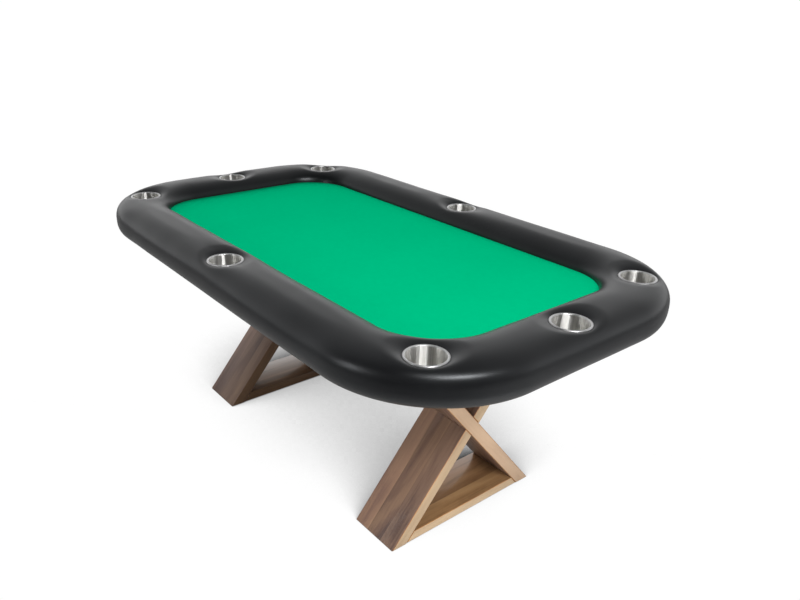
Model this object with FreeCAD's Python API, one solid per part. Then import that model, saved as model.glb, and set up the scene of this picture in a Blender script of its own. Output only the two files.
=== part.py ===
import FreeCAD, Part
import math
import os

# Gaming table: a padded racetrack rail round a cloth-covered playing board, eight drop-in cup
# holders in the rail, and two crossed-board leg frames.  Millimetres, +Z up, origin on the
# floor under the middle.  +X is the long way, the front is -Y.
V = FreeCAD.Vector
UP = V(0, 0, 1)

# ---- overall -------------------------------------------------------------------------------
table_length = 1832.0
table_width = 1092.0
table_height = 762.0
corner_radius = 340.0          # plan radius of the outer edge of the rail

# ---- padded rail ---------------------------------------------------------------------------
rail_width = 183.0
rail_half_height = 58.5        # the padded section is a soft oval, squared off a little
rail_squareness = 2.8
rail_mid_z = table_height - rail_half_height
vinyl_thk = 1.5
skirt_in, skirt_thk = 20.0, 12.0      # apron board inside the outer padding, from outer edge
skirt_bottom = 668.0
rail_board_in, rail_board_out = 20.0, 168.0
rail_board_thk = 18.0

# ---- playing board -------------------------------------------------------------------------
cloth_top = 714.0
cloth_thk = 1.0
pad_thk = 6.0
board_thk = 18.0
board_edge = 138.0             # board edge, measured in from the outer edge of the rail
cloth_turn_under = 25.0

# ---- cup holders ---------------------------------------------------------------------------
cup_in = 83.0                  # cup centre, in from the outer edge of the rail
cup_rim_z = 750.0
cup_flange_r = 51.7
cup_wall_r = 46.0
cup_sheet = 0.8
cup_depth = 72.0
cup_base_round = 6.0
cup_lip_drop = 3.4
seat_z = 745.5                 # bottom of the soft dimple the rim sits in
seat_r = 52.2
dimple_r = 82.0

# ---- leg frames ----------------------------------------------------------------------------
leg_x = 475.5
leg_width = 170.7
leg_thk = 40.4
leg_angle = math.radians(49.9)
leg_spread = 289.0             # outer face of the board meets the floor this far out
leg_base_z = 2.0
leg_top_z = 645.0
foot_board_thk = 31.0
foot_board_z = 4.0
head_board_thk = 33.0

# ---- carcass and fixings -------------------------------------------------------------------
bearer_w, cross_bearer_half = 110.0, 370.0
long_bearer_w, long_bearer_y = 60.0, 300.0
glide_r = 13.0
leg_bolt_y, leg_bolt_dx = 170.0, 32.0
rail_bolt_in = 150.0
bolt_r, thread_bore, clearance_bore = 4.0, 4.03, 4.5
staple_crown, staple_wide, staple_thk = 10.0, 1.2, 0.6

board_bottom = cloth_top - cloth_thk - pad_thk - board_thk
rail_board_z = cloth_top


def export(shape, name):
    shape.exportStep(os.path.join("parts", name + ".step"))


def box(x0, x1, y0, y1, z0, z1):
    return Part.makeBox(x1 - x0, y1 - y0, z1 - z0, V(x0, y0, z0))


def rod(r, z0, z1, x=0.0, y=0.0):
    return Part.makeCylinder(r, z1 - z0, V(x, y, z0), UP)


def polygon(points):
    return Part.Face(Part.makePolygon(points + [points[0]]))


def together(shapes):
    """One solid out of pieces that meet face to face."""
    whole = shapes[0].multiFuse(shapes[1:]).removeSplitter()
    return whole.Solids[0] if len(whole.Solids) == 1 else whole


# ---- racetrack plan ------------------------------------------------------------------------
def slab(inset, z0, z1):
    """Rounded rectangle parallel to the rail's outer edge, `inset` inside it."""
    hx, hy = table_length / 2 - inset, table_width / 2 - inset
    r = corner_radius - inset
    body = box(-hx, hx, -hy + r, hy - r, z0, z1)
    body = body.fuse(box(-hx + r, hx - r, -hy, hy, z0, z1))
    for sx in (-1, 1):
        for sy in (-1, 1):
            body = body.fuse(rod(r, z0, z1, sx * (hx - r), sy * (hy - r)))
    return body.removeSplitter().Solids[0]


def along(face, side):
    """Straight run of a rail section on one side: 0 right, 1 back, 2 left, 3 front."""
    half, run = table_length / 2, table_width / 2 - corner_radius
    if side % 2:
        half, run = table_width / 2, table_length / 2 - corner_radius
    piece = face.copy()
    piece.translate(V(half, -run, 0))
    piece = piece.extrude(V(0, 2 * run, 0))
    piece.rotate(V(0, 0, 0), UP, 90 * side)
    return piece


def around(face, corner):
    """Quarter turn of a rail section, the corner that follows the side of the same number."""
    piece = face.copy()
    piece.translate(V(corner_radius, 0, 0))
    piece = piece.revolve(V(0, 0, 0), UP, 90)
    piece.rotate(V(0, 0, 0), UP, 90 * corner)
    sx, sy = ((1, 1), (-1, 1), (-1, -1), (1, -1))[corner]
    piece.translate(V(sx * (table_length / 2 - corner_radius),
                      sy * (table_width / 2 - corner_radius), 0))
    return piece


def full_ring(face):
    return together([along(face, k) for k in range(4)] + [around(face, k) for k in range(4)])


def in_four(face):
    """Straight front and back lengths, and end pieces that take in both corners."""
    return {"front": along(face, 3), "back": along(face, 1),
            "right": together([around(face, 3), along(face, 0), around(face, 0)]),
            "left": together([around(face, 1), along(face, 2), around(face, 2)])}


SIDES = ("right", "back", "left", "front")
CORNERS = ("back_right", "back_left", "front_left", "front_right")


def cup_places():
    """Name and plan position of every cup holder."""
    cx, cy = table_length / 2 - corner_radius, table_width / 2 - corner_radius
    diag = (corner_radius - cup_in) * math.sqrt(0.5)
    mid_x, mid_y = table_length / 2 - cup_in, table_width / 2 - cup_in
    return [("right", mid_x, 0.0), ("back_right", cx + diag, cy + diag),
            ("back", 0.0, mid_y), ("back_left", -cx - diag, cy + diag),
            ("left", -mid_x, 0.0), ("front_left", -cx - diag, -cy - diag),
            ("front", 0.0, -mid_y), ("front_right", cx + diag, -cy - diag)]


# ---- rail section, drawn in (distance in from the outer edge, height) -----------------------
def at(inset, z):
    return V(-inset, 0, z)


def section_box(i0, i1, z0, z1):
    return polygon([at(i0, z0), at(i1, z0), at(i1, z1), at(i0, z1)])


def oval(shrink):
    """The soft rail outline, `shrink` inside the outer skin."""
    hw, hh = rail_width / 2 - shrink, rail_half_height - shrink
    points = []
    for k in range(48):
        t = 2 * math.pi * (k + 0.5) / 48
        c, s = math.cos(t), math.sin(t)
        u = math.copysign(abs(c) ** (2 / rail_squareness), c) * hw
        w = math.copysign(abs(s) ** (2 / rail_squareness), s) * hh
        points.append(at(rail_width / 2 + u, rail_mid_z + w))
    curve = Part.BSplineCurve()
    curve.interpolate(points, PeriodicFlag=True)
    return Part.Face(Part.Wire(curve.toShape()))


def padded_section(shrink):
    """Everything inside the skin: over the rail board and down outside the apron board."""
    hollow = section_box(skirt_in + skirt_thk + vinyl_thk - shrink, rail_width + 5, 600, cloth_top)
    below = section_box(-5, rail_width + 5, 600, skirt_bottom - 16 + shrink)
    return oval(shrink).cut(hollow).cut(below)


def dimple(x, y, lower):
    """Tool that sinks the padding round one cup holder."""
    z = seat_z - lower
    top = table_height + 8 - lower
    profile = [V(0, 0, z), V(seat_r, 0, z)]
    arc = Part.BSplineCurve()
    arc.interpolate([V(seat_r, 0, z), V(seat_r + 3.8, 0, z + 3.5), V(seat_r + 10.8, 0, z + 9.0),
                     V(seat_r + 19.8, 0, z + 15.0), V(dimple_r, 0, top)])
    edges = [Part.LineSegment(*profile).toShape(), arc.toShape(),
             Part.LineSegment(V(dimple_r, 0, top), V(dimple_r, 0, top + 20)).toShape(),
             Part.LineSegment(V(dimple_r, 0, top + 20), V(0, 0, top + 20)).toShape(),
             Part.LineSegment(V(0, 0, top + 20), V(0, 0, z)).toShape()]
    tool = Part.Face(Part.Wire(edges)).revolve(V(0, 0, 0), UP, 360)
    tool.translate(V(x, y, 0))
    return tool


def near(piece, x, y, r):
    b = piece.BoundBox
    return b.XMin - r < x < b.XMax + r and b.YMin - r < y < b.YMax + r


def sink_for_cups(piece, lower, hole_r):
    """Cut the dimples and the cup holes out of one piece of padding or cover."""
    for _, x, y in cup_places():
        if near(piece, x, y, dimple_r):
            piece = piece.cut(dimple(x, y, lower)).cut(rod(hole_r, 600, 800, x, y))
    return piece


def rail():
    board_face = section_box(rail_board_in, rail_board_out, rail_board_z,
                             rail_board_z + rail_board_thk)
    skirt_face = section_box(skirt_in, skirt_in + skirt_thk, skirt_bottom, rail_board_z)
    inner = padded_section(vinyl_thk)
    outer = padded_section(0.0)
    foam_face = inner.cut(board_face).cut(skirt_face)
    over_board = section_box(-5, rail_width + 5, rail_board_z + rail_board_thk, table_height + 5)
    inner_lip = section_box(rail_board_out, rail_width + 5, cloth_top - 5,
                            rail_board_z + rail_board_thk)
    top_foam = foam_face.common(over_board.fuse(inner_lip).removeSplitter())
    side_foam = foam_face.cut(over_board).cut(inner_lip)
    holes = [rod(cup_wall_r + 1.0, 600, 800, x, y) for _, x, y in cup_places()]
    nuts = rail_nuts() + [rod(clearance_bore, 600, rail_board_z + rail_board_thk, x, y)
                          for x, y in rail_bolt_places()]

    for name, piece in in_four(board_face).items():
        export(piece.cut(Part.makeCompound(holes)).cut(Part.makeCompound(nuts)),
               "rail_board_" + name)
    for name, piece in in_four(side_foam).items():
        export(piece, "rail_foam_side_" + name)
    for k in range(4):
        for name, run in ((SIDES[k], along), (CORNERS[k], around)):
            export(run(skirt_face, k), "rail_skirt_" + name)
            export(sink_for_cups(run(top_foam, k), vinyl_thk, cup_wall_r + 0.6),
                   "rail_foam_" + name)

    # one-piece cover: the outer skin less everything it is stretched over, turned up inside
    turned_up = full_ring(section_box(skirt_in + skirt_thk, skirt_in + skirt_thk + vinyl_thk,
                                      skirt_bottom, skirt_bottom + 22))
    skin = sink_for_cups(full_ring(outer), 0.0, cup_wall_r + 0.6)
    filling = sink_for_cups(full_ring(inner), vinyl_thk, 1.0)
    export(together([skin.cut(filling), turned_up]), "rail_cover")


# ---- cup holders ---------------------------------------------------------------------------
def cup_holder(x, y):
    """Pressed steel cup with a rolled rim, made as one revolved sheet."""
    s, r, top = cup_sheet, cup_wall_r, cup_rim_z
    base, rb = top - cup_depth, cup_base_round
    lip = cup_flange_r
    mid = (r - s + lip) / 2            # crest of the rolled rim
    rise = mid - (r - s)
    q = math.sqrt(0.5)

    def arc(a, b, c):
        return Part.Arc(a, b, c).toShape()

    def line(a, b):
        return Part.LineSegment(a, b).toShape()

    p = lambda u, z: V(u, 0, z)
    ri = rb - s
    edges = [
        line(p(0, base), p(r - rb, base)),
        arc(p(r - rb, base), p(r - rb + rb * q, base + rb - rb * q), p(r, base + rb)),
        line(p(r, base + rb), p(r, top - rise)),
        arc(p(r, top - rise), p(mid, top - s), p(lip - s, top - rise)),
        line(p(lip - s, top - rise), p(lip, top - rise)),
        arc(p(lip, top - rise), p(mid, top), p(r - s, top - rise)),
        line(p(r - s, top - rise), p(r - s, base + rb)),
        arc(p(r - s, base + rb), p(r - rb + ri * q, base + rb - ri * q), p(r - rb, base + s)),
        line(p(r - rb, base + s), p(0, base + s)),
        line(p(0, base + s), p(0, base))]
    cup = Part.Face(Part.Wire(edges)).revolve(V(0, 0, 0), UP, 360)
    cup.translate(V(x, y, 0))
    return cup


# ---- playing board and carcass --------------------------------------------------------------
def rail_bolt_places():
    out = rail_bolt_in
    hx, hy = table_length / 2 - out, table_width / 2 - out
    return ([(sx * x, sy * hy) for x in (190.0, 480.0) for sx in (-1, 1) for sy in (-1, 1)]
            + [(sx * hx, sy * 120.0) for sx in (-1, 1) for sy in (-1, 1)])


def leg_bolt_places():
    return [(sx * leg_x + dx, sy * leg_bolt_y)
            for sx in (-1, 1) for sy in (-1, 1) for dx in (-leg_bolt_dx, leg_bolt_dx)]


def bearer_screw_places():
    cross = [(sx * (leg_x + dx), sy * 330.0) for sx in (-1, 1) for sy in (-1, 1)
             for dx in (-36.0, 36.0)]
    long_ones = [(x, sy * long_bearer_y) for x in (-320.0, 0.0, 320.0) for sy in (-1, 1)]
    return cross + long_ones


def socket_bolt(x, y, seat, length):
    """M8 socket-head bolt pointing up, head under `seat`."""
    head = rod(6.5, seat - 8, seat, x, y).cut(rod(3.3, seat - 8, seat - 4, x, y))
    return head.fuse(rod(bolt_r, seat, seat + length, x, y)).removeSplitter().Solids[0]


def washer(x, y, seat):
    return rod(10.0, seat - 1.6, seat, x, y).cut(rod(4.2, seat - 2, seat + 1, x, y))


def wood_screw(x, y, z, length):
    """Countersunk screw driven upwards, head flush with z."""
    head = Part.makeCone(4.5, 2.2, 3.5, V(x, y, z), UP)
    return head.fuse(rod(2.2, z + 3.5, z + length, x, y)).removeSplitter().Solids[0]


def rail_nuts():
    """Flanged tee nuts let in flush with the top of the rail board."""
    top = rail_board_z + rail_board_thk
    return [rod(10.0, top - 1.5, top, x, y).fuse(rod(5.2, top - 12, top - 1.5, x, y))
            .cut(rod(thread_bore, top - 13, top + 1, x, y)).removeSplitter().Solids[0]
            for x, y in rail_bolt_places()]


def solid_group(solids):
    return Part.makeCompound([s.Solids[0] for s in solids])


def playing_surface():
    shafts = Part.makeCompound([rod(clearance_bore, board_bottom - 5, cloth_top + 5, x, y)
                                for x, y in rail_bolt_places()])
    screws = Part.makeCompound([wood_screw(x, y, leg_top_z, 57) for x, y in bearer_screw_places()])
    pad_z = board_bottom + board_thk
    export(slab(board_edge, board_bottom, pad_z).cut(shafts).cut(screws), "playing_board")
    export(slab(board_edge, pad_z, pad_z + pad_thk).cut(shafts), "playing_pad")
    wrap = slab(board_edge - cloth_thk, board_bottom - cloth_thk, cloth_top)
    wrap = wrap.cut(slab(board_edge, board_bottom, cloth_top - cloth_thk))
    wrap = wrap.cut(slab(board_edge + cloth_turn_under, board_bottom - 5, board_bottom))
    export(wrap.cut(shafts), "playing_cloth")


def carcass():
    """Bearers under the playing board, and the bolts and screws that hold the top together."""
    screws = [wood_screw(x, y, leg_top_z, 57) for x, y in bearer_screw_places()]
    bored = Part.makeCompound(screws + [rod(6.5, leg_top_z, leg_top_z + 25, x, y)
                                        for x, y in leg_bolt_places()]
                              + [rod(clearance_bore, leg_top_z, leg_top_z + 32, x, y)
                                 for x, y in leg_bolt_places()])
    for name, sx in (("right", 1), ("left", -1)):
        x = sx * leg_x
        bar = box(x - bearer_w / 2, x + bearer_w / 2, -cross_bearer_half, cross_bearer_half,
                  leg_top_z, board_bottom)
        export(bar.cut(bored), "cross_bearer_" + name)
    reach = leg_x - bearer_w / 2
    for name, sy in (("back", 1), ("front", -1)):
        y = sy * long_bearer_y
        bar = box(-reach, reach, y - long_bearer_w / 2, y + long_bearer_w / 2,
                  leg_top_z, board_bottom)
        export(bar.cut(bored), "long_bearer_" + name)
    export(solid_group(screws), "bearer_screws")

    under = leg_top_z - head_board_thk
    export(solid_group([socket_bolt(x, y, under - 1.6, 65) for x, y in leg_bolt_places()]),
           "leg_bolts")
    export(solid_group([washer(x, y, under) for x, y in leg_bolt_places()]), "leg_washers")
    export(solid_group([rod(6.5, leg_top_z, leg_top_z + 25, x, y)
                        .cut(rod(thread_bore, leg_top_z - 1, leg_top_z + 26, x, y))
                        for x, y in leg_bolt_places()]), "leg_inserts")
    lap = board_bottom - cloth_thk
    export(solid_group([socket_bolt(x, y, lap - 1.6, rail_board_z + rail_board_thk - lap + 1.6)
                        for x, y in rail_bolt_places()]), "rail_bolts")
    export(solid_group([washer(x, y, lap) for x, y in rail_bolt_places()]), "rail_washers")
    export(solid_group(rail_nuts()), "rail_nuts")


# ---- leg frames ----------------------------------------------------------------------------
def board_profile(lean):
    """Side view of one sloping board: lean +1 has its foot at the front, -1 at the back."""
    run = 1 / math.tan(leg_angle)
    wide = leg_thk / math.sin(leg_angle)
    foot = -leg_spread + leg_base_z * run
    head = -leg_spread + leg_top_z * run
    return [(lean * foot, leg_base_z), (lean * (foot + wide), leg_base_z),
            (lean * (head + wide), leg_top_z), (lean * head, leg_top_z)]


def extrude_profile(points, x0, x1):
    face = polygon([V(x0, y, z) for y, z in points])
    return face.extrude(V(x1 - x0, 0, 0))


def leg_frame(name, sx):
    """Crossed boards halved into each other, tied by a foot board and a head board."""
    x0, x1 = sx * leg_x - leg_width / 2, sx * leg_x + leg_width / 2
    middle = sx * leg_x
    forward = extrude_profile(board_profile(1), x0, x1)
    backward = extrude_profile(board_profile(-1), x0, x1)
    crossing = forward.common(backward)
    outer_half = box(min(middle, middle + sx * 200), max(middle, middle + sx * 200),
                     -500, 500, 0, 700)
    export(forward.cut(crossing.common(outer_half)).Solids[0], "leg_%s_board_a" % name)
    export(backward.cut(crossing.cut(outer_half)).Solids[0], "leg_%s_board_b" % name)

    run = 1 / math.tan(leg_angle)
    inside = leg_spread - leg_thk / math.sin(leg_angle)
    low, high = foot_board_z, foot_board_z + foot_board_thk
    foot = [(-(inside - low * run), low), (inside - low * run, low),
            (inside - high * run, high), (-(inside - high * run), high)]
    export(extrude_profile(foot, x0, x1), "leg_%s_foot_board" % name)

    low, high = leg_top_z - head_board_thk, leg_top_z
    gap = lambda z: z * run - leg_spread
    head = [(-gap(low), low), (gap(low), low), (gap(high), high), (-gap(high), high)]
    bolts = Part.makeCompound([rod(clearance_bore, 500, 700, x, y) for x, y in leg_bolt_places()])
    export(extrude_profile(head, x0, x1).cut(bolts), "leg_%s_head_board" % name)


# ---- staples -------------------------------------------------------------------------------
def spaced_round(inset, spacing):
    """Plan points parallel to the rail's outer edge, evenly spaced: (x, y, heading)."""
    hx, hy = table_length / 2 - inset, table_width / 2 - inset
    r = corner_radius - inset
    spots = []
    for side in range(4):
        half, across = ((hy - r, hx), (hx - r, hy))[side % 2]
        count = round(2 * half / spacing)
        turn = math.radians(90 * side)
        for k in range(count):
            u, v = across, -half + (k + 0.5) * 2 * half / count
            spots.append((u * math.cos(turn) - v * math.sin(turn),
                          u * math.sin(turn) + v * math.cos(turn), 90.0 * side))
        sx, sy = ((1, 1), (-1, 1), (-1, -1), (1, -1))[side]
        bends = round(math.pi * r / 2 / spacing)
        reach = math.sqrt(r * r - staple_crown ** 2 / 4)     # ends of the crown touch the curve
        for k in range(bends):
            heading = 90.0 * side + (k + 0.5) * 90 / bends
            spots.append((sx * (hx - r) + reach * math.cos(math.radians(heading)),
                          sy * (hy - r) + reach * math.sin(math.radians(heading)), heading))
    return spots


def staples(inset, z, spacing, upright):
    """Staple crowns lying along the edge, on a wall (upright) or on an underside."""
    deep, tall = (staple_thk, staple_wide) if upright else (staple_wide, staple_thk)
    row = []
    for x, y, heading in spaced_round(inset, spacing):
        crown = box(-deep, 0, -staple_crown / 2, staple_crown / 2, z, z + tall)
        crown.rotate(V(0, 0, 0), UP, heading)
        crown.translate(V(x, y, 0))
        row.append(crown)
    return solid_group(row)


def glides():
    """Felt discs under the four feet of both frames."""
    y = leg_spread - leg_thk / math.sin(leg_angle) / 2
    return [rod(glide_r, 0, leg_base_z, sx * leg_x + dx, sy * y)
            for sx in (-1, 1) for sy in (-1, 1) for dx in (-55.0, 55.0)]


os.makedirs("parts", exist_ok=True)
rail()
for cup_name, cup_x, cup_y in cup_places():
    export(cup_holder(cup_x, cup_y), "cup_holder_" + cup_name)
playing_surface()
carcass()
leg_frame("right", 1)
leg_frame("left", -1)
export(solid_group(glides()), "floor_glides")
export(staples(skirt_in + skirt_thk + vinyl_thk, skirt_bottom + 14, 100, True), "cover_staples")
export(staples(board_edge + 14, board_bottom - cloth_thk - staple_thk, 96, False),
       "cloth_staples")
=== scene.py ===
import math

import bmesh
import bpy
import numpy as np
from mathutils import Matrix, Vector, noise


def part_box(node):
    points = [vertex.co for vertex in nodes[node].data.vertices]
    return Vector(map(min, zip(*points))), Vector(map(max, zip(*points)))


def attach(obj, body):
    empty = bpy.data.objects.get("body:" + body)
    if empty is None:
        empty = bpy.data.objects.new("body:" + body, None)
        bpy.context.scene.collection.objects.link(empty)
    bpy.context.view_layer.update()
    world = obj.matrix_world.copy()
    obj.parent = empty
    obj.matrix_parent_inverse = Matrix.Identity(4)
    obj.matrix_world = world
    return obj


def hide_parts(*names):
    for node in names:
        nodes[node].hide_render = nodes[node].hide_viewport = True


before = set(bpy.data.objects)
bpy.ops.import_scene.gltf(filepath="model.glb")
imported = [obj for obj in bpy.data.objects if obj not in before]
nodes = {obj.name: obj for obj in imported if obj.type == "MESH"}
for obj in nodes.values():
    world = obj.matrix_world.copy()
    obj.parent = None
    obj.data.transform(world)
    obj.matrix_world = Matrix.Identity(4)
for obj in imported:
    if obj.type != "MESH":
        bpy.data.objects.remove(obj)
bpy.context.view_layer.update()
scene = bpy.context.scene

# ---- sizes shared with the CAD part, in metres ---------------------------------------------
LENGTH, WIDTH, TOP = 1.832, 1.092, 0.762
CORNER = 0.340                                   # plan radius of the rail's outer edge
RAIL_W, RAIL_HH, SQUARE = 0.183, 0.0585, 2.8     # section: width, half height, oval power
RAIL_MID = TOP - RAIL_HH
SKIRT_IN, SKIRT_THK, SKIRT_LOW = 0.020, 0.012, 0.668
BOARD_IN, BOARD_OUT, BOARD_TOP = 0.020, 0.168, 0.732
CLOTH_Z, CLOTH_EDGE, CLOTH_LOW = 0.714, 0.137, 0.688
CLOTH_DROP, CLOTH_TUCK = 0.026, 0.0245           # down the board's edge, turned under it
RIM_Z, RIM_R, WALL_R, SHEET, CUP_DEPTH = 0.750, 0.0517, 0.046, 0.0008, 0.072
LEG_ANGLE, LEG_WIDE, STAVES = math.radians(49.9), 0.171, 3

CUPS = ("right", "back_right", "back", "back_left", "left", "front_left", "front", "front_right")


def cup_place(name):
    low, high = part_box("cup_holder_" + name)
    return ((low + high) / 2).to_2d()


cup_xy = {name: cup_place(name) for name in CUPS}


# ---- node material helpers -----------------------------------------------------------------
class Nodes:
    """Short-hand for building one node material."""

    def __init__(self, name):
        self.mat = bpy.data.materials.new(name)
        self.mat.use_nodes = True
        self.tree = self.mat.node_tree
        self.tree.nodes.clear()
        self.out = self.tree.nodes.new("ShaderNodeOutputMaterial")
        self.shader = self.tree.nodes.new("ShaderNodeBsdfPrincipled")
        self.link(self.shader.outputs[0], self.out.inputs["Surface"])

    def link(self, a, b):
        self.tree.links.new(a, b)

    def put(self, socket, value):
        if isinstance(value, bpy.types.NodeSocket):
            self.link(value, socket)
        else:
            socket.default_value = value

    def coords(self, scale=(1, 1, 1), rotation=(0, 0, 0)):
        tc = self.tree.nodes.new("ShaderNodeTexCoord")
        m = self.tree.nodes.new("ShaderNodeMapping")
        self.link(tc.outputs["Object"], m.inputs["Vector"])
        m.inputs["Scale"].default_value = scale
        m.inputs["Rotation"].default_value = rotation
        return m.outputs[0]

    def noise(self, vec, scale, detail=4, rough=0.55, distortion=0.0):
        n = self.tree.nodes.new("ShaderNodeTexNoise")
        self.link(vec, n.inputs["Vector"])
        n.inputs["Scale"].default_value = scale
        n.inputs["Detail"].default_value = detail
        n.inputs["Roughness"].default_value = rough
        n.inputs["Distortion"].default_value = distortion
        return n.outputs["Fac"]

    def voronoi(self, vec, scale, feature="F1"):
        n = self.tree.nodes.new("ShaderNodeTexVoronoi")
        n.feature = feature
        self.link(vec, n.inputs["Vector"])
        n.inputs["Scale"].default_value = scale
        return n.outputs["Distance"]

    def wave(self, vec, scale, distortion, detail, direction):
        n = self.tree.nodes.new("ShaderNodeTexWave")
        n.bands_direction = direction
        self.link(vec, n.inputs["Vector"])
        n.inputs["Scale"].default_value = scale
        n.inputs["Distortion"].default_value = distortion
        n.inputs["Detail"].default_value = detail
        return n.outputs["Fac"]

    def math(self, op, a, b=0.0):
        n = self.tree.nodes.new("ShaderNodeMath")
        n.operation = op
        self.put(n.inputs[0], a)
        self.put(n.inputs[1], b)
        return n.outputs[0]

    def split(self, vec):
        n = self.tree.nodes.new("ShaderNodeSeparateXYZ")
        self.link(vec, n.inputs[0])
        return n.outputs

    def join(self, x, y, z):
        n = self.tree.nodes.new("ShaderNodeCombineXYZ")
        for s, v in zip(n.inputs, (x, y, z)):
            self.put(s, v)
        return n.outputs[0]

    def white(self, value):
        n = self.tree.nodes.new("ShaderNodeTexWhiteNoise")
        n.noise_dimensions = "1D"
        self.put(n.inputs["W"], value)
        return n.outputs["Value"]

    def remap(self, value, a, b, c, d):
        n = self.tree.nodes.new("ShaderNodeMapRange")
        self.put(n.inputs["Value"], value)
        for key, v in (("From Min", a), ("From Max", b), ("To Min", c), ("To Max", d)):
            n.inputs[key].default_value = v
        return n.outputs["Result"]

    def ramp(self, value, stops):
        n = self.tree.nodes.new("ShaderNodeValToRGB")
        self.put(n.inputs["Fac"], value)
        ramp = n.color_ramp
        ramp.interpolation = "EASE"
        while len(ramp.elements) < len(stops):
            ramp.elements.new(0.5)
        for e, (pos, colour) in zip(ramp.elements, stops):
            e.position = pos
            e.color = (*colour, 1)
        return n.outputs["Color"]

    def mix(self, fac, a, b, blend="MIX"):
        n = self.tree.nodes.new("ShaderNodeMix")
        n.data_type = "RGBA"
        n.blend_type = blend
        self.put(n.inputs["Factor"], fac)
        for key, v in (("A", a), ("B", b)):
            socket = [s for s in n.inputs if s.name == key and s.type == "RGBA"][0]
            self.put(socket, (*v, 1) if isinstance(v, tuple) and len(v) == 3 else v)
        return [s for s in n.outputs if s.type == "RGBA"][0]

    def bump(self, height, distance, strength):
        n = self.tree.nodes.new("ShaderNodeBump")
        self.put(n.inputs["Height"], height)
        n.inputs["Distance"].default_value = distance
        n.inputs["Strength"].default_value = strength
        return n.outputs[0]

    def set(self, **values):
        for key, v in values.items():
            socket = self.shader.inputs[key.replace("_", " ")]
            self.put(socket, (*v, 1) if isinstance(v, tuple) and socket.type == "RGBA"
                     and len(v) == 3 else v)
        return self.mat


# ---- materials -----------------------------------------------------------------------------
def vinyl_material():
    """Black upholstery vinyl: fine pebble grain, softly uneven satin sheen."""
    m = Nodes("rail_vinyl")
    p = m.coords()
    pebble = m.voronoi(p, 620, "SMOOTH_F1")
    fine = m.noise(p, 1500, 3, 0.6)
    soft = m.noise(p, 9, 3, 0.5)
    grain = m.math("ADD", m.math("MULTIPLY", pebble, 0.8), m.math("MULTIPLY", fine, 0.35))
    colour = m.ramp(m.math("ADD", m.math("MULTIPLY", soft, 0.6), m.math("MULTIPLY", fine, 0.4)),
                    [(0.25, (0.0042, 0.0044, 0.0049)), (0.8, (0.0070, 0.0073, 0.0081))])
    rough = m.math("ADD", m.remap(soft, 0.3, 0.7, 0.31, 0.36),
                   m.remap(pebble, 0.0, 0.6, 0.02, -0.01))
    return m.set(Base_Color=colour, Roughness=rough, Normal=m.bump(grain, 0.00010, 0.35),
                 Specular_IOR_Level=0.47, Specular_Tint=(0.93, 0.965, 1.0, 1.0))


def cloth_material():
    """Green playing cloth: tight diagonal weave, short nap, slightly uneven dye."""
    m = Nodes("playing_cloth")
    p = m.coords()
    turned = m.coords(rotation=(0, 0, math.radians(45)))
    warp = m.wave(turned, 210, 0.6, 2, "X")
    weft = m.wave(turned, 210, 0.6, 2, "Y")
    weave = m.math("MAXIMUM", warp, weft)
    fuzz = m.noise(p, 900, 4, 0.7)
    mottle = m.noise(p, 55, 5, 0.65)
    broad = m.noise(p, 3.2, 3, 0.5)
    tone = m.math("ADD", m.math("MULTIPLY", mottle, 0.4),
                  m.math("ADD", m.math("MULTIPLY", broad, 0.35), m.math("MULTIPLY", weave, 0.25)))
    colour = m.ramp(tone, [(0.25, (0.0, 0.420, 0.183)), (0.5, (0.0, 0.452, 0.199)),
                           (0.8, (0.0, 0.485, 0.215))])
    height = m.math("ADD", weave, m.math("MULTIPLY", fuzz, 0.8))
    return m.set(Base_Color=colour, Roughness=m.remap(fuzz, 0.2, 0.8, 0.88, 0.97),
                 Normal=m.bump(height, 0.00020, 0.35), Specular_IOR_Level=0.0)


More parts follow.
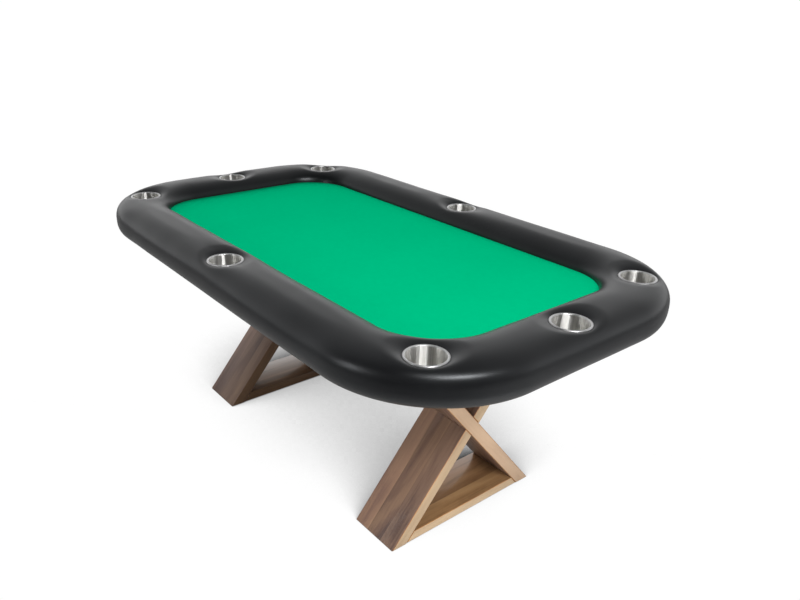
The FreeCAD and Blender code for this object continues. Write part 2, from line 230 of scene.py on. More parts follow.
def walnut_material(name, stops, gloss, figured=1.0, lacquer=0.05):
    """Lacquered walnut in three glued staves; the grain runs along the piece's own X.

    stops are four colours from dark to light grain, gloss is the roughness under the lacquer,
    figured is how strongly staves, glue lines and mineral streaks stand out."""
    m = Nodes(name)
    x, y, z = m.split(m.coords())
    across = m.math("DIVIDE", m.math("ADD", y, LEG_WIDE / 2), LEG_WIDE / STAVES)
    stave = m.math("FLOOR", across)
    jump = m.math("MULTIPLY", m.white(stave), 7.0)

    def grain(along, wide, detail, rough, warp=0.0):
        return m.noise(m.join(m.math("ADD", m.math("MULTIPLY", x, along), jump),
                              m.math("MULTIPLY", y, wide),
                              m.math("ADD", m.math("MULTIPLY", z, wide), jump)),
                       1.0, detail, rough, warp)

    figure = grain(2.4, 11.0, 5, 0.5, 0.8)
    streak = grain(3.0, 75.0, 3, 0.5, 0.2)
    fleck = grain(45.0, 700.0, 2, 0.5)
    tone = m.math("ADD", m.math("MULTIPLY", figure, 0.68),
                  m.math("ADD", m.math("MULTIPLY", streak, 0.24), m.math("MULTIPLY", fleck, 0.08)))
    colour = m.ramp(tone, list(zip((0.34, 0.45, 0.55, 0.66), stops)))
    shift = m.remap(m.white(m.math("ADD", stave, 3.7)), 0.0, 1.0, 1.0 - 0.16 * figured,
                    1.0 + 0.12 * figured)
    warm = m.remap(m.white(m.math("ADD", stave, 9.1)), 0.0, 1.0, 0.93, 1.05)
    colour = m.mix(1.0, colour, m.join(shift, m.math("MULTIPLY", shift, warm), shift), "MULTIPLY")
    # glue line between staves, and now and then a dark mineral streak
    edge = m.math("ABSOLUTE", m.math("SUBTRACT", m.math("FRACT", across), 0.5))
    seam = m.remap(edge, 0.484, 0.497, 1.0, 1.0 - 0.35 * figured)
    rare = m.remap(grain(1.1, 34.0, 4, 0.55, 1.2), 0.61, 0.74, 1.0, 1.0 - 0.55 * figured)
    dark = m.math("MULTIPLY", seam, rare)
    colour = m.mix(1.0, colour, m.join(dark, dark, dark), "MULTIPLY")
    rough = m.remap(streak, 0.3, 0.7, gloss + 0.03, gloss - 0.03)
    height = m.math("ADD", m.math("MULTIPLY", streak, 0.5), m.math("MULTIPLY", fleck, 0.5))
    return m.set(Base_Color=colour, Roughness=rough, Normal=m.bump(height, 0.00012, 0.25),
                 Specular_IOR_Level=0.32, Coat_Weight=lacquer, Coat_Roughness=0.10)


def arris_and_highlight_material():
    """The rubbed, warmer edge where the lacquer is thin; its bright orange is partly a painted
    highlight along the lit edge.
    """
    m = Nodes("walnut_arris_and_highlight")
    p = m.coords(scale=(8, 120, 120))
    colour = m.ramp(m.noise(p, 1.0, 4, 0.6), [(0.3, (0.26, 0.105, 0.028)),
                                              (0.7, (0.50, 0.235, 0.075))])
    return m.set(Base_Color=colour, Roughness=m.remap(m.noise(p, 3.0, 2), 0.3, 0.7, 0.34, 0.42),
                 Coat_Weight=0.2, Coat_Roughness=0.25)


def steel_material():
    """Spun stainless steel: fine rings round the cup's axis smear what it mirrors along it."""
    m = Nodes("cup_steel")
    p = m.coords()
    x, y, z = m.split(p)
    radius = m.math("SQRT", m.math("ADD", m.math("MULTIPLY", x, x), m.math("MULTIPLY", y, y)))
    lines = m.noise(m.join(m.math("MULTIPLY", radius, 1900.0), 0.0,
                           m.math("MULTIPLY", z, 1900.0)), 1.0, 3, 0.6)
    scuff = m.noise(p, 24, 3, 0.5)
    colour = m.ramp(m.math("ADD", m.math("MULTIPLY", lines, 0.4), m.math("MULTIPLY", scuff, 0.6)),
                    [(0.3, (0.92, 0.91, 0.87)), (0.7, (0.98, 0.97, 0.94))])
    rough = m.math("ADD", m.remap(lines, 0.3, 0.7, 0.43, 0.46), m.remap(scuff, 0.4, 0.7, 0.0, 0.02))
    # drawn walls are never quite round: faint upright ripples break up what they mirror, and the
    # streaks are painted reflection bands, lighter and darker stripes in the metal's colour; both
    # follow the direction round the axis
    around = m.join(m.math("DIVIDE", x, radius), m.math("DIVIDE", y, radius), 0.0)
    ripple = m.noise(around, 2.6, 3, 0.6)
    streak = m.remap(m.noise(around, 6.5, 4, 0.65), 0.38, 0.62, 0.76, 1.06)
    colour = m.mix(1.0, colour, m.join(streak, streak, streak), "MULTIPLY")
    relief = m.math("ADD", m.math("MULTIPLY", ripple, 2.2), m.math("MULTIPLY", lines, 0.01))
    tangent = m.tree.nodes.new("ShaderNodeTangent")
    tangent.direction_type, tangent.axis = "RADIAL", "Z"
    m.link(tangent.outputs[0], m.shader.inputs["Tangent"])
    return m.set(Base_Color=colour, Metallic=1.0, Roughness=rough, Anisotropic=1.0,
                 Anisotropic_Rotation=0.25, Normal=m.bump(relief, 0.001, 1.0))


def rim_material():
    """The rolled rim, polished less and seen as a pale satin ring."""
    m = Nodes("cup_rim")
    p = m.coords()
    haze = m.noise(p, 180, 4, 0.6)
    colour = m.ramp(haze, [(0.3, (0.70, 0.70, 0.70)), (0.7, (0.79, 0.79, 0.79))])
    return m.set(Base_Color=colour, Metallic=1.0, Roughness=m.remap(haze, 0.3, 0.7, 0.34, 0.42))


def plywood_material():
    """Birch plywood: pale rotary-cut face, glue lines where an edge shows."""
    m = Nodes("plywood")
    z = m.split(m.coords())[2]
    face = m.noise(m.coords(scale=(3, 22, 1)), 1.0, 6, 0.6, 1.4)
    speck = m.noise(m.coords(scale=(40, 420, 40)), 1.0, 3, 0.5)
    plies = m.wave(m.join(0.0, 0.0, z), 62, 0.0, 0, "Z")
    tone = m.math("ADD", m.math("MULTIPLY", face, 0.75), m.math("MULTIPLY", speck, 0.25))
    colour = m.ramp(tone, [(0.3, (0.50, 0.33, 0.17)), (0.7, (0.68, 0.50, 0.30))])
    geo = m.tree.nodes.new("ShaderNodeNewGeometry")
    flat = m.math("ABSOLUTE", m.split(geo.outputs["Normal"])[2])
    edge = m.remap(flat, 0.4, 0.6, 1.0, 0.0)
    shade = m.math("SUBTRACT", 1.0, m.math("MULTIPLY", edge, m.remap(plies, 0.35, 0.65, 0.0, 0.45)))
    colour = m.mix(1.0, colour, m.join(shade, shade, shade), "MULTIPLY")
    return m.set(Base_Color=colour, Roughness=m.remap(speck, 0.3, 0.7, 0.6, 0.72),
                 Normal=m.bump(speck, 0.0002, 0.4))


def softwood_material():
    """Planed pale softwood; the grain runs along the piece's own X."""
    m = Nodes("softwood_along")
    p = m.coords(scale=(4, 60, 60))
    lines = m.noise(p, 1.0, 5, 0.6, 1.0)
    fine = m.noise(p, 9.0, 3, 0.5)
    colour = m.ramp(m.math("ADD", m.math("MULTIPLY", lines, 0.7), m.math("MULTIPLY", fine, 0.3)),
                    [(0.3, (0.40, 0.25, 0.12)), (0.7, (0.62, 0.44, 0.25))])
    return m.set(Base_Color=colour, Roughness=m.remap(fine, 0.3, 0.7, 0.55, 0.7),
                 Normal=m.bump(lines, 0.0003, 0.35))


def zinc_material():
    """Bright zinc plate with the faint crystal mottle it has."""
    m = Nodes("zinc_steel")
    p = m.coords()
    mottle = m.voronoi(p, 900)
    haze = m.noise(p, 260, 4, 0.6)
    colour = m.ramp(haze, [(0.3, (0.42, 0.44, 0.47)), (0.7, (0.64, 0.65, 0.66))])
    return m.set(Base_Color=colour, Metallic=1.0, Roughness=m.remap(mottle, 0.0, 0.8, 0.26, 0.40))


def felt_material():
    """Pressed dark felt, clumped fibres."""
    m = Nodes("felt")
    p = m.coords()
    fibre = m.noise(p, 1200, 5, 0.75)
    clump = m.noise(p, 130, 3, 0.6)
    colour = m.ramp(m.math("ADD", m.math("MULTIPLY", fibre, 0.6), m.math("MULTIPLY", clump, 0.4)),
                    [(0.3, (0.02, 0.018, 0.016)), (0.7, (0.075, 0.068, 0.06))])
    return m.set(Base_Color=colour, Roughness=m.remap(fibre, 0.2, 0.8, 0.9, 1.0),
                 Normal=m.bump(fibre, 0.0006, 0.7))


VINYL, CLOTH = vinyl_material(), cloth_material()
WALNUT_FACE = walnut_material("walnut", [(0.095, 0.055, 0.044), (0.165, 0.098, 0.072),
                                         (0.240, 0.146, 0.096), (0.330, 0.212, 0.128)], 0.46)
# painted shade: a darker copy of the face walnut for the left frame, which stands in the table's
# shade
WALNUT_FACE_PAINTED_SHADE = walnut_material("walnut_face_painted_shade", [(0.082, 0.050, 0.040), (0.124, 0.075, 0.057),
                                              (0.165, 0.101, 0.072), (0.215, 0.136, 0.092)],
                              0.46, 0.8)
WALNUT_FLAT = walnut_material("walnut_foot", [(0.120, 0.060, 0.028), (0.195, 0.102, 0.047),
                                              (0.265, 0.145, 0.068), (0.330, 0.190, 0.092)],
                              0.34, 0.35, 0.9)
# painted shade: a dark copy of the foot walnut for the left foot, which lies in the table's shade
WALNUT_FOOT_PAINTED_SHADE = walnut_material("walnut_foot_painted_shade", [(0.045, 0.024, 0.013), (0.070, 0.038, 0.021),
                                              (0.100, 0.055, 0.030), (0.130, 0.075, 0.042)],
                              0.34, 0.5, 0.9)
# painted light: a pale copy of the walnut for board sides that face out of the table, as if lit
# from the side
WALNUT_EDGE_PAINTED_LIGHT = walnut_material("walnut_edge_painted_light", [(0.38, 0.255, 0.165), (0.46, 0.320, 0.208),
                                                     (0.53, 0.375, 0.245), (0.59, 0.420, 0.280)],
                               0.42, 0.25)
# painted shade: a dark copy of the walnut for board sides that face in under the table
WALNUT_EDGE_PAINTED_SHADE = walnut_material("walnut_edge_painted_shade", [(0.060, 0.032, 0.018), (0.085, 0.046, 0.026),
                                                     (0.110, 0.062, 0.036), (0.14, 0.082, 0.048)],
                               0.40, 0.4)
ARRIS_AND_HIGHLIGHT = arris_and_highlight_material()
STEEL, RIM = steel_material(), rim_material()
PLY, ZINC, FELT, SOFTWOOD = (plywood_material(), zinc_material(), felt_material(),
                             softwood_material())


# ---- mesh helpers --------------------------------------------------------------------------
def linked(name, mesh):
    """New object for a mesh, in the scene."""
    obj = bpy.data.objects.new(name, mesh)
    scene.collection.objects.link(obj)
    return obj


def smooth(mesh, sharp_degrees):
    """Smooth shading, with edges kept that turn by more than this."""
    mesh.polygons.foreach_set("use_smooth", [True] * len(mesh.polygons))
    mesh.set_sharp_from_angle(angle=math.radians(sharp_degrees))


def piece(name, verts, faces, materials, body):
    mesh = bpy.data.meshes.new(name)
    mesh.from_pydata([tuple(v) for v in verts], [], faces)
    mesh.validate()
    obj = linked(name, mesh)
    for m in materials:
        mesh.materials.append(m)
    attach(obj, body)
    return obj


def outward(obj):
    """Face normals made consistent and pointing out."""
    bm = bmesh.new()
    bm.from_mesh(obj.data)
    bmesh.ops.recalc_face_normals(bm, faces=bm.faces)
    bm.to_mesh(obj.data)
    bm.free()


def applied(obj):
    """Modifiers made into mesh."""
    dg = bpy.context.evaluated_depsgraph_get()
    mesh = bpy.data.meshes.new_from_object(obj.evaluated_get(dg))
    obj.modifiers.clear()
    obj.data = mesh


def ring_faces(rows, cols, closed=True):
    """Quads round a ring of rows sections with cols points each; a closed section wraps too."""
    return [(i * cols + k, i * cols + (k + 1) % cols, (i + 1) % rows * cols + (k + 1) % cols,
             (i + 1) % rows * cols + k)
            for i in range(rows) for k in range(cols if closed else cols - 1)]


def arc_angles(first, last, count):
    return np.radians(np.linspace(first, last, count))


def track(step_far=0.014, step_near=0.0042, reach=0.085):
    """Stations round the rail's outer edge: point, inward direction. Closer together by a cup."""
    hx, hy, r = LENGTH / 2, WIDTH / 2, CORNER
    lx, ly, quarter = LENGTH - 2 * r, WIDTH - 2 * r, math.pi * r / 2
    runs = []
    for ux, uy in ((1, 0), (0, 1), (-1, 0), (0, -1)):
        tx, ty = -uy, ux
        start = Vector((ux * hx - tx * lx / 2, uy * hy - ty * ly / 2))
        runs.append(("line", start, Vector((tx, ty)), ly if ux else lx, Vector((-ux, -uy))))
        middle = Vector(((ux + tx) * (hx - r), (uy + ty) * (hy - r)))
        runs.append(("arc", middle, math.atan2(uy, ux), quarter, None))

    def spot(run, s):
        kind, origin, heading, _, inward = run
        if kind == "line":
            return origin + heading * s, inward
        t = heading + s / r
        out = Vector((math.cos(t), math.sin(t)))
        return origin + out * r, -out

    # every run has a cup at its middle: the steps shorten there and widen again over 50 mm
    stations = []
    for run in runs:
        length = run[3]
        wide = reach if run[0] == "line" else reach * 1.3
        fine = np.linspace(0, length, 2001)
        gap = np.abs(fine - length / 2) - wide
        step = step_near + (step_far - step_near) * np.clip(gap / 0.05, 0, 1)
        count = np.concatenate([[0], np.cumsum(np.diff(fine) / step[1:])])
        n = int(round(count[-1]))
        for k in range(n):
            s = float(np.interp(count[-1] * k / n, count, fine))
            stations.append(spot(run, s))
    return stations


# ---- padded rail ---------------------------------------------------------------------------
SKIN_POINTS, HOLD_POINTS = 104, 12        # round the section; over these the swells fade in
CLOTH_GAP = 0.0004                        # the padding ends this far above the cloth
HEM_IN, HEM_LOW, HEM_TOP = SKIRT_IN + SKIRT_THK + 0.0015, 0.656, 0.690   # the turned-up edge
SWELL_BROAD, SWELL_FINE = 0.0013, 0.0007
# padding round a cup: its height at the rim, how far it climbs away from it and how fast
DIMPLE_FLOOR, DIMPLE_RISE, DIMPLE_FADE = 0.7467, 0.0165, 0.028
DIMPLE_SLOPE, DIMPLE_CURL, DIMPLE_REACH = 0.10, 60, 0.110
DIMPLE_SOFT = 0.012                       # how gently the padding rolls into a dimple
HELD_R = 0.0535                           # the cloth run holds the cover inside this radius
WELL_R = WALL_R + 0.0013
PUFF_FRAMES, PUFF_PRESSURE, PUFF_CAP = 14, 2.0, 0.004
SLACK = 0.001      # the cover starts this much smaller than it ends


def oval_point(t):
    """Point of the rail's section at angle t from its outer side: (inset, z)."""
    c, s = math.cos(t), math.sin(t)
    return (RAIL_W / 2 - math.copysign(abs(c) ** (2 / SQUARE), c) * (RAIL_W / 2),
            RAIL_MID + math.copysign(abs(s) ** (2 / SQUARE), s) * RAIL_HH)


def skin_line(count):
    """Rail outline from the cloth over the crown and down to the turned-up edge: (inset, z)."""
    fine = np.array([oval_point(t) for t in np.linspace(math.pi * 1.25, -math.pi * 0.75, 6001)])
    # start at the inner side where it meets the cloth, end under the outer side
    inset, z = fine.T
    start = np.argmax((z > CLOTH_Z + CLOTH_GAP) & (inset > RAIL_W / 2))
    after = np.arange(len(z)) > start + 500
    stop = np.argmax(after & (z < RAIL_MID) & (inset > HEM_IN))
    line = fine[start:stop]
    d = np.concatenate([[0], np.cumsum(np.hypot(*np.diff(line, axis=0).T))])
    s = np.linspace(0, d[-1], count)
    return np.stack([np.interp(s, d, line[:, 0]), np.interp(s, d, line[:, 1])], 1)


def cover_moved(coarse, fixed):
    """How far a short cloth run under pressure moves the points that aren't fixed."""
    rows, cols = fixed.shape
    mesh = bpy.data.meshes.new("puff")
    mesh.from_pydata(coarse.reshape(-1, 3).tolist(), [], ring_faces(rows, cols))
    obj = linked("puff", mesh)
    outward(obj)
    group = obj.vertex_groups.new(name="held")
    group.add(np.flatnonzero(fixed.ravel()).tolist(), 1.0, "REPLACE")
    mod = obj.modifiers.new("cover", "CLOTH")
    cover = mod.settings
    cover.quality, cover.mass, cover.air_damping = 6, 0.3, 3.0
    cover.tension_stiffness = cover.compression_stiffness = 25
    cover.shear_stiffness, cover.bending_stiffness = 15, 1.5
    cover.vertex_group_mass = "held"
    cover.use_pressure, cover.uniform_pressure_force = True, PUFF_PRESSURE
    cover.effector_weights.gravity = 0.0
    mod.collision_settings.use_collision = False
    mod.point_cache.frame_start, mod.point_cache.frame_end = 1, PUFF_FRAMES
    for frame_no in range(1, PUFF_FRAMES + 1):
        scene.frame_set(frame_no)
    done = obj.evaluated_get(bpy.context.evaluated_depsgraph_get()).to_mesh()
    after = np.empty(len(done.vertices) * 3)
    done.vertices.foreach_get("co", after)
    scene.frame_set(1)
    bpy.data.objects.remove(obj)
    moved = after.reshape(rows, cols, 3) - coarse
    size = np.linalg.norm(moved, axis=2, keepdims=True)
    return moved * np.minimum(1.0, PUFF_CAP / np.maximum(size, 1e-9))


def puffed(grid, held):
    """The cover pushed out by its foam, held at its two stapled edges and round each cup.

    grid holds the ring's points as (station, place in section, xyz). The cloth run takes every
    second station and every third point of the skin, and the rest follow by interpolation."""
    rows, cols, _ = grid.shape
    r_at = np.arange(0, rows, 2)
    c_at = np.append(np.arange(0, SKIN_POINTS - 1, 3), np.arange(SKIN_POINTS - 1, cols))
    moved = cover_moved(grid[r_at][:, c_at], held[r_at][:, c_at])
    wide = np.empty((len(r_at), cols, 3))
    for i in range(len(r_at)):
        for a in range(3):
            wide[i, :, a] = np.interp(np.arange(cols), c_at, moved[i, :, a])
    wide = np.concatenate([wide, wide[:1]])
    full = np.empty_like(grid)
    for k in range(cols):
        for a in range(3):
            full[:, k, a] = np.interp(np.arange(rows), np.append(r_at, rows), wide[:, k, a])
    free = (~held)[..., None]
    for _ in range(4):
        for axis in (0, 1):
            full = (np.roll(full, 1, axis) + 2 * full + np.roll(full, -1, axis)) / 4 * free
    return grid + full


def swell(x, y, z):
    """Slow unevenness of a hand-stretched cover over foam."""
    return (noise.noise(Vector((x * 3.1, y * 3.1, z * 5))) * SWELL_BROAD
            + noise.noise(Vector((x * 9, y * 9, z * 9 + 4))) * SWELL_FINE)


def dimpled(z, r):
    """Height z pressed down to the dimple's floor, r from a cup's axis."""
    if r >= DIMPLE_REACH:
        return z
    out = max(0.0, r - RIM_R)
    floor = (DIMPLE_FLOOR + DIMPLE_RISE * (1 - math.exp(-out / DIMPLE_FADE))
             + DIMPLE_SLOPE * out + DIMPLE_CURL * out ** 3)
    blend = max(0.0, DIMPLE_SOFT - abs(z - floor)) / DIMPLE_SOFT
    return min(z, floor) - blend * blend * DIMPLE_SOFT / 4


def rail_grid():
    """The ring's points: stations round the table, and the skin then the hollow back at each."""
    back = [(HEM_IN, HEM_LOW), (HEM_IN, HEM_TOP), (SKIRT_IN + SKIRT_THK, HEM_TOP + 0.0005),
            (SKIRT_IN + SKIRT_THK, SKIRT_LOW), (SKIRT_IN, SKIRT_LOW), (BOARD_IN, BOARD_TOP),
            (BOARD_OUT, BOARD_TOP), (BOARD_OUT, CLOTH_Z + CLOTH_GAP)]
    section = [tuple(p) for p in skin_line(SKIN_POINTS)] + back
    stations = track()
    verts = []
    for p, inward in stations:
        for k, (inset, z) in enumerate(section):
            x, y = p + inward * inset
            if k < SKIN_POINTS:
                # the swells are kept off both fixed edges
                hold = min(1.0, k / HOLD_POINTS, (SKIN_POINTS - 1 - k) / HOLD_POINTS)
                lift = (swell(x, y, z) - SLACK) * hold
                away = Vector((inset - RAIL_W / 2, z - RAIL_MID)).normalized()
                x, y = p + inward * (inset + away.x * lift)
                z += away.y * lift
                for c in cup_xy.values():
                    z = dimpled(z, math.hypot(x - c.x, y - c.y))
            verts.append((x, y, z))
    return np.array(verts).reshape(len(stations), len(section), 3)


def cut_wells(obj):
    """Round holes for the cup holders."""
    bm = bmesh.new()
    for c in cup_xy.values():
        bmesh.ops.create_cone(bm, cap_ends=True, segments=96, radius1=WELL_R, radius2=WELL_R,
                              depth=0.30, matrix=Matrix.Translation((c.x, c.y, 0.72)))
    mesh = bpy.data.meshes.new("well_cutter")
    bm.to_mesh(mesh)
    bm.free()
    cutter = linked("well_cutter", mesh)
    mod = obj.modifiers.new("wells", "BOOLEAN")
    mod.operation, mod.solver, mod.object = "DIFFERENCE", "EXACT", cutter
    applied(obj)
    bpy.data.objects.remove(cutter)


def rail():
    """Cover and padding as one soft ring that leaves room for the boards inside it."""
    grid = rail_grid()
    held = np.zeros(grid.shape[:2], bool)
    held[:, SKIN_POINTS - 3:] = held[:, :3] = True
    for c in cup_xy.values():
        ring = np.hypot(grid[..., 0] - c.x, grid[..., 1] - c.y) < HELD_R
        held |= ring & (grid[..., 2] > CLOTH_Z)
    grid = puffed(grid, held)
    rows, cols, _ = grid.shape
    obj = piece("rail_padding_and_cover", grid.reshape(-1, 3).tolist(), ring_faces(rows, cols),
                [VINYL], "table")
    outward(obj)
    cut_wells(obj)
    smooth(obj.data, 50)
    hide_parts("rail_cover", *[name for name in nodes if name.startswith("rail_foam")])


# ---- playing cloth -------------------------------------------------------------------------
TOP_ROLL, TUCK_ROLL = 0.003, 0.0025        # how the cloth rounds the board's top and bottom edges


def cloth_line():
    """Cloth from the field out to the board's edge, down it and under: (inset, z)."""
    line = [(inset, CLOTH_Z) for inset in (0.330, 0.250, 0.200, 0.184, 0.170, 0.1405)]
    for t in arc_angles(15, 75, 3):
        line.append((CLOTH_EDGE + TOP_ROLL - TOP_ROLL * math.sin(t),
                     CLOTH_Z - TOP_ROLL + TOP_ROLL * math.cos(t)))
    line += [(CLOTH_EDGE, CLOTH_Z - 0.0045), (CLOTH_EDGE, 0.700), (CLOTH_EDGE, CLOTH_LOW + 0.003)]
    for t in arc_angles(15, 75, 3):
        line.append((CLOTH_EDGE + TUCK_ROLL - TUCK_ROLL * math.cos(t),
                     CLOTH_LOW + TUCK_ROLL - TUCK_ROLL * math.sin(t)))
    return line + [(inset, CLOTH_LOW) for inset in (0.1405, 0.150, CLOTH_EDGE + CLOTH_TUCK)]


def cloth():
    """Cloth stretched flat over the pad and turned under the playing board."""
    stations = track(0.02, 0.02)
    line = cloth_line()
    verts = []
    for p, inward in stations:
        for inset, z in line:
            at = p + inward * inset
            verts.append((at.x, at.y, z))
    faces = ring_faces(len(stations), len(line), closed=False)
    faces.append(tuple(i * len(line) for i in range(len(stations))))
    obj = piece("playing_cloth_sheet", verts, faces, [CLOTH], "table")
    outward(obj)
    solid = obj.modifiers.new("thickness", "SOLIDIFY")
    solid.thickness, solid.offset = 0.0008, -1
    applied(obj)
    smooth(obj.data, 50)
    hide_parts("playing_cloth", "playing_pad")


# ---- cup holders ---------------------------------------------------------------------------
CUP_SEGMENTS = 128
RIM_BAND = -0.0036                     # above this height a cup shows the rim's finish


def cup_profile():
    """Section of the spun sheet from the axis, out under the base, up the wall, round the rim
    and back down inside to the axis: (radius, height from the rim's top)."""
    s, r, round_r = SHEET, WALL_R, 0.006
    base = -CUP_DEPTH
    dish = base + 0.0018                # the base's raised middle
    mid = (r - s + RIM_R) / 2           # centre of the rolled rim
    rise = mid - (r - s)                # its outer radius
    pts = [(0.0, dish), (0.012, dish), (0.0165, base + 0.0012), (0.018, base), (r - round_r, base)]
    for a in arc_angles(0, 90, 8)[1:]:
        pts.append((r - round_r + round_r * math.sin(a), base + round_r - round_r * math.cos(a)))
    pts += [(r, base + 0.020), (r, base + 0.045), (r, -rise - 0.001)]
    under = rise - s
    for a in arc_angles(180, 0, 13):
        pts.append((mid + under * math.cos(a), -rise + under * math.sin(a)))
    pts.append((RIM_R - s * 0.5, -rise - s * 0.45))
    for a in arc_angles(0, 180, 25):
        pts.append((mid + rise * math.cos(a), -rise + rise * math.sin(a)))
    pts += [(r - s, -rise - 0.0015), (r - s, base + 0.045), (r - s, base + 0.020)]
    inner = round_r - s
    for a in arc_angles(90, 0, 8):
        pts.append((r - round_r + inner * math.sin(a), base + round_r - inner * math.cos(a)))
    return pts + [(0.0186, base + s), (0.0170, base + 0.0019), (0.012, dish + s), (0.0, dish + s)]


def spun(profile, segments):
    """Points and faces of a profile turned round Z; a point on the axis stays one point."""
    verts, faces, rings = [], [], []
    for r, z in profile:
        if r == 0.0:
            rings.append([len(verts)])
            verts.append((0, 0, z))
            continue
        rings.append(list(range(len(verts), len(verts) + segments)))
        turns = [2 * math.pi * k / segments for k in range(segments)]
        verts += [(r * math.cos(t), r * math.sin(t), z) for t in turns]
    for a, b in zip(rings, rings[1:]):
        for k in range(segments):
            after = (k + 1) % segments
            if len(a) == 1:
                faces.append((a[0], b[after], b[k]))
            elif len(b) == 1:
                faces.append((a[k], a[after], b[0]))
            else:
                faces.append((a[k], a[after], b[after], b[k]))
    return verts, faces


def cup_holders():
    verts, faces = spun(cup_profile(), CUP_SEGMENTS)
    for name in CUPS:
        obj = piece("cup_%s_spun" % name, verts, faces, [STEEL, RIM], "cup_" + name)
        for f in obj.data.polygons:
            if f.center.z > RIM_BAND:
                f.material_index = 1
        obj.location = (*cup_xy[name], RIM_Z)
        outward(obj)
        smooth(obj.data, 40)
        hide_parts("cup_holder_" + name)


# ---- timber --------------------------------------------------------------------------------
def timber(node, grain, face_dir, material, edge=0.0021, shift=0.0, ends=()):
    """The CAD board with eased edges, in a frame whose X runs along the grain.

    shift slides the board along its grain pattern. ends are the finishes of the outward eased edges
    (with a painted highlight), of the side that faces out of the table (painted light) and of the
    side that faces in (painted shade)."""
    low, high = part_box(node)
    x = Vector(grain).normalized()
    z = Vector(face_dir).normalized()
    turn = Matrix((x, z.cross(x), z)).transposed().to_4x4()
    place = Matrix.Translation((low + high) / 2 + x * shift) @ turn
    bm = bmesh.new()
    bm.from_mesh(nodes[node].data)
    bmesh.ops.remove_doubles(bm, verts=bm.verts, dist=1e-5)
    bmesh.ops.dissolve_limit(bm, angle_limit=math.radians(0.5), verts=bm.verts, edges=bm.edges)
    bmesh.ops.recalc_face_normals(bm, faces=bm.faces)
    sharp = [e for e in bm.edges if len(e.link_faces) == 2
             and math.degrees(e.calc_face_angle(0)) > 25 and e.calc_length() > 0.01]
    made = bmesh.ops.bevel(bm, geom=sharp, offset=edge, segments=2, profile=0.5,
                           affect="EDGES", clamp_overlap=True)
    # painted light and shade: eased edges facing out get the arris with its painted highlight,
    # sides facing out the painted-light walnut, sides facing in the painted-shade walnut
    if ends:
        eased = set(made["faces"])
        for f in bm.faces:
            if f in eased:
                f.material_index = 1 if f.normal.x * low.x > 0.2 else 0
            elif abs(f.normal.x) > 0.9:
                f.material_index = 2 if f.normal.x * low.x > 0 else 3
    bm.transform(place.inverted())
    mesh = bpy.data.meshes.new(node + "_wood")
    bm.to_mesh(mesh)
    bm.free()
    for look in (material, *ends):
        mesh.materials.append(look)
    obj = linked(node + "_wood", mesh)
    obj.matrix_world = place
    smooth(mesh, 35)
    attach(obj, "table")
    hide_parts(node)


def legs():
    """Walnut frames with painted light on the sides that face out and painted shade on the sides
    that face in; the left frame's faces and foot take darker copies, painted shade.
    """
    c, s = math.cos(LEG_ANGLE), math.sin(LEG_ANGLE)
    edges = (ARRIS_AND_HIGHLIGHT, WALNUT_EDGE_PAINTED_LIGHT, WALNUT_EDGE_PAINTED_SHADE)
    for k, (side, face, foot) in enumerate((("right", WALNUT_FACE, WALNUT_FLAT),
                                            ("left", WALNUT_FACE_PAINTED_SHADE, WALNUT_FOOT_PAINTED_SHADE))):
        timber("leg_%s_board_a" % side, (0, c, s), (0, -s, c), face,
               shift=0.31 * k, ends=edges)
        timber("leg_%s_board_b" % side, (0, -c, s), (0, s, c), face,
               shift=1.37 + 0.53 * k, ends=edges)
        timber("leg_%s_foot_board" % side, (0, 1, 0), (0, 0, 1), foot,
               shift=2.2 + 0.4 * k, ends=edges)
        timber("leg_%s_head_board" % side, (0, 1, 0), (0, 0, 1), WALNUT_FACE,
               shift=3.1 + 0.3 * k, ends=edges)


def bearers():
    """Softwood under the playing board, grain along each bearer."""
    for node, grain in (("cross_bearer_right", (0, 1, 0)), ("cross_bearer_left", (0, 1, 0)),
                        ("long_bearer_front", (1, 0, 0)), ("long_bearer_back", (1, 0, 0))):
        timber(node, grain, (0, 0, 1), SOFTWOOD, 0.002)


def carried_over():
    """CAD nodes whose shape is right get their finish."""
    finishes = ((PLY, ("playing_board", "rail_board", "rail_skirt")),
                (ZINC, ("bearer_screws", "rail_bolts", "rail_washers", "rail_nuts", "leg_bolts",
                        "leg_washers", "leg_inserts", "cover_staples", "cloth_staples")),
                (FELT, ("floor_glides",)))
    for look, starts in finishes:
        for name, obj in nodes.items():
            if name.startswith(starts):
                for slot in obj.material_slots:
                    slot.material = look


# ---- studio --------------------------------------------------------------------------------
FRONT_SIDE = (0.62, -0.78, 0.0)                  # towards the camera's side
DARK_FROM_TO, DARK_SIDE = (-0.35, 0.55), 0.10    # the room fades to this share of its light
HORIZON, ZENITH, BACKDROP = 1.15, 0.35, 1.05     # room light low and high, and what is seen
FLOOR_HALF = 60.0


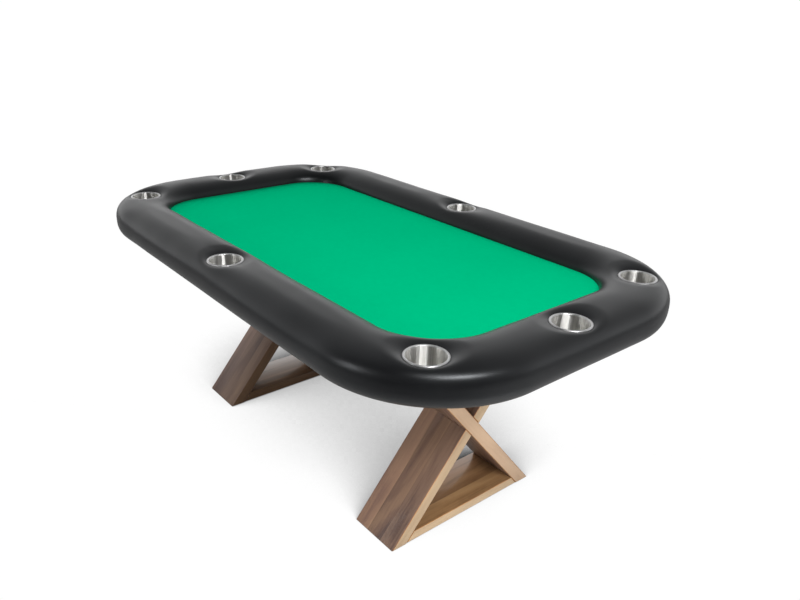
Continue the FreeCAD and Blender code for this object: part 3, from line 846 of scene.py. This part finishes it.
def studio_floor():
    """White sweep: seen pure white but for a painted soft shadow of the table, made by dimming its
    glow where the table occludes it, and darker in reflections on the camera's side so that the
    black rail keeps its depth."""
    m = Nodes("studio_floor")
    x, y, _ = m.split(m.coords())
    front = m.math("ADD", m.math("MULTIPLY", x, FRONT_SIDE[0]),
                   m.math("MULTIPLY", y, FRONT_SIDE[1]))
    tone = m.remap(front, 0.9, 2.1, 0.42, 0.08)
    seen = m.tree.nodes.new("ShaderNodeLightPath").outputs["Is Camera Ray"]
    shade = m.tree.nodes.new("ShaderNodeAmbientOcclusion")
    shade.samples = 32
    shade.inputs["Distance"].default_value = 1.6
    # painted shadow: the floor glows for the camera, dimmed by occlusion; the tilted normal makes
    # the shadow fall away from the light's side
    m.link(m.join(0.8, -0.65, 1.0), shade.inputs["Normal"])
    soft = m.remap(shade.outputs["AO"], 0.27, 0.685, 0.04, 1.005)
    m.set(Base_Color=m.mix(seen, m.join(tone, tone, tone), (0.0, 0.0, 0.0)),
          Roughness=0.8, Specular_IOR_Level=0.0, Emission_Color=(1.0, 1.0, 1.0),
          Emission_Strength=m.math("MULTIPLY", seen, soft))
    s = FLOOR_HALF
    mesh = bpy.data.meshes.new("floor")
    mesh.from_pydata([(-s, -s, 0), (s, -s, 0), (s, s, 0), (-s, s, 0)], [], [(0, 1, 2, 3)])
    mesh.materials.append(m.mat)
    linked("floor", mesh)


def room():
    """World light: bright low down and behind the table, dim above and on the camera's side."""
    world = bpy.data.worlds.new("studio")
    scene.world = world
    world.use_nodes = True
    tree = world.node_tree
    back = tree.nodes["Background"]
    back.inputs["Color"].default_value = (1.0, 1.0, 1.0, 1)

    def node(kind, **inputs):
        n = tree.nodes.new(kind)
        for key, v in inputs.items():
            socket = n.inputs[key.replace("_", " ")]
            if isinstance(v, bpy.types.NodeSocket):
                tree.links.new(v, socket)
            else:
                socket.default_value = v
        return n

    def ramp(value, a, b, c, d):
        n = node("ShaderNodeMapRange", Value=value, From_Min=a, From_Max=b, To_Min=c, To_Max=d)
        n.interpolation_type = "SMOOTHSTEP"
        return n.outputs["Result"]

    toward = node("ShaderNodeTexCoord").outputs["Generated"]
    up = node("ShaderNodeSeparateXYZ", Vector=toward).outputs["Z"]
    dot = tree.nodes.new("ShaderNodeVectorMath")
    dot.operation = "DOT_PRODUCT"
    tree.links.new(toward, dot.inputs[0])
    dot.inputs[1].default_value = FRONT_SIDE
    front = ramp(dot.outputs["Value"], *DARK_FROM_TO, 1.0, DARK_SIDE)
    height = ramp(up, 0.05, 0.75, HORIZON, ZENITH)
    product = tree.nodes.new("ShaderNodeMath")
    product.operation = "MULTIPLY"
    tree.links.new(front, product.inputs[0])
    tree.links.new(height, product.inputs[1])
    level = tree.nodes.new("ShaderNodeMix")
    level.data_type = "FLOAT"
    tree.links.new(node("ShaderNodeLightPath").outputs["Is Camera Ray"], level.inputs["Factor"])
    tree.links.new(product.outputs[0], level.inputs["A"])
    level.inputs["B"].default_value = BACKDROP
    tree.links.new(level.outputs["Result"], back.inputs["Strength"])


def area(name, place, target, size, power, glossy=True):
    light = bpy.data.lights.new(name, "AREA")
    light.shape = "RECTANGLE"
    light.size, light.size_y = size
    light.energy = power
    obj = linked(name, light)
    obj.location = place
    obj.rotation_mode = "QUATERNION"
    obj.rotation_quaternion = (Vector(target) - Vector(place)).to_track_quat("-Z", "Y")
    obj.visible_camera = False
    obj.visible_glossy = glossy


def lamps():
    """Key and strip draw the rail's highlights; the others only fill, unseen in reflections."""
    area("key", (2.9, -1.0, 2.83), (0.8, -0.43, 0.74), (1.7, 0.36), 70)
    area("strip", (-0.02, -3.0, 1.2), (0.4, -0.45, 0.72), (0.42, 1.0), 11)
    area("low_right", (1.6, -0.25, 0.32), (0.5, 0.0, 0.3), (0.9, 0.4), 9, glossy=False)
    area("front_fill", (1.05, -2.0, 1.0), (0.5, -0.1, 0.3), (0.8, 0.8), 11, glossy=False)
    sun = bpy.data.lights.new("overhead", "SUN")
    sun.energy, sun.angle = 3.2, math.radians(60)
    lamp = linked("overhead", sun)
    lamp.rotation_mode = "QUATERNION"
    lamp.rotation_quaternion = Vector((0.90, -0.25, -0.44)).to_track_quat("-Z", "Y")
    lamp.visible_glossy = False
    scene.view_settings.view_transform = "Standard"
    scene.view_settings.look = "None"


# ---- camera --------------------------------------------------------------------------------
CAMERA_PLACE = (1.71596, -1.30114, 1.44698)
TILT, SWING, VIEW_ROLL = 1.1330, 0.8960, 0.0230          # radians
LENS_MM, SENSOR_MM, LENS_SHIFT = 31.8294, 36.0, (0.034125, 0.024125)


def camera():
    """Lens, place and turn that the fitted view of the photograph has."""
    cam = bpy.data.cameras.new("camera")
    obj = linked("camera", cam)
    turn = (Matrix.Rotation(SWING, 4, "Z") @ Matrix.Rotation(TILT, 4, "X")
            @ Matrix.Rotation(VIEW_ROLL, 4, "Z"))
    obj.matrix_world = Matrix.Translation(CAMERA_PLACE) @ turn
    cam.sensor_width, cam.lens = SENSOR_MM, LENS_MM
    cam.shift_x, cam.shift_y = LENS_SHIFT
    scene.camera = obj


camera()
rail()
cloth()
cup_holders()
legs()
bearers()
carried_over()
studio_floor()
room()
lamps()
